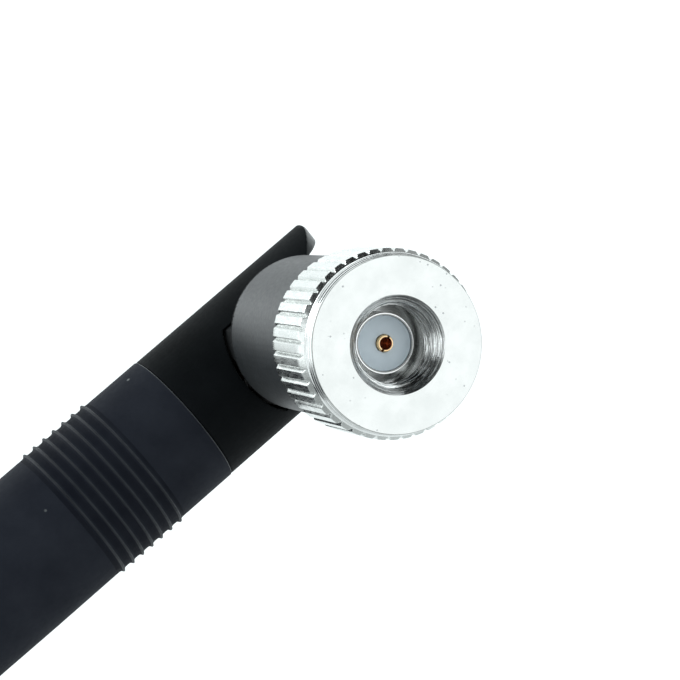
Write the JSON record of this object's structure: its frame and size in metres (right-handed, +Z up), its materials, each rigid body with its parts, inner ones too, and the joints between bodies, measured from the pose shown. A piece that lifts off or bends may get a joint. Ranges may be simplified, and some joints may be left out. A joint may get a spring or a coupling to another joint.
{
  "type": "tilting stick antenna with coaxial plug",
  "caption": "Black tilt-and-swivel whip antenna for a wireless router, with a knurled screw-on coaxial plug, an elbow that turns on it and a hinged, ribbed whip.",
  "frame": {"origin": "on the plug's axis, at the front plane of the plug's barrel, where it meets the jack", "axes": "-Y out of the plug towards the jack, +Z up the whip when it is folded to a right angle, X along the tilt axis"},
  "size_m": [0.0138, 0.0356, 0.1721],
  "materials": {
    "nickel_plate": "nickel plate over turned brass, satin",
    "spring_steel": "bare spring wire",
    "gold_plate": "gold plate, polished",
    "ptfe": "fluoropolymer, matte, pale grey-white",
    "elbow_plastic": "moulded, fine matte grain",
    "black_plastic": "moulded, satin",
    "radome_plastic": "moulded, slightly rubbery",
    "jacket": "extruded, glossy brown",
    "braid": "silvered copper braid",
    "copper": "bare copper wire",
    "brass": "drawn tube",
    "solder": "tinned",
    "white_plastic": "cut sheet",
    "shrink_tube": "shrunk tube",
    "foam": "soft foam"
  },
  "bodies": {
    "connector": {"plug_body": "nickel_plate", "retaining_ring": "spring_steel", "front_insulator": "ptfe", "rear_insulator": "ptfe", "centre_contact": "gold_plate", "crimp_ferrule": "nickel_plate"},
    "nut": {"coupling_nut": "nickel_plate"},
    "elbow": {"elbow": "elbow_plastic"},
    "whip": {"fork": "black_plastic", "radome": "radome_plastic", "cable_jacket": "jacket", "cable_braid": "braid", "cable_dielectric": "ptfe", "cable_core": "copper", "dipole_sleeve": "brass", "sleeve_collar": "solder", "sleeve_spacer": "white_plastic", "feed_insulator": "white_plastic", "feed_shrink_tube": "shrink_tube", "radiator_wire": "copper", "wire_spacer": "white_plastic", "coil_shrink_tube": "shrink_tube", "top_spacer": "white_plastic", "tip_pad": "foam"}
  },
  "joints": [
    {"name": "nut_spin", "type": "hinge", "parent": "connector", "child": "nut", "pos_m": [0, 0, 0], "axis": [0, 1, 0], "continuous": true},
    {"name": "elbow_swivel", "type": "hinge", "parent": "connector", "child": "elbow", "pos_m": [0, 0.01, 0], "axis": [0, 1, 0], "range_deg": [-180, 180]},
    {"name": "whip_tilt", "type": "hinge", "parent": "elbow", "child": "whip", "pos_m": [0, 0.0262, -0.0007], "axis": [1, 0, 0], "range_deg": [-90, 0], "deforming": ["cable_jacket", "cable_braid", "cable_dielectric", "cable_core"]}
  ]
}
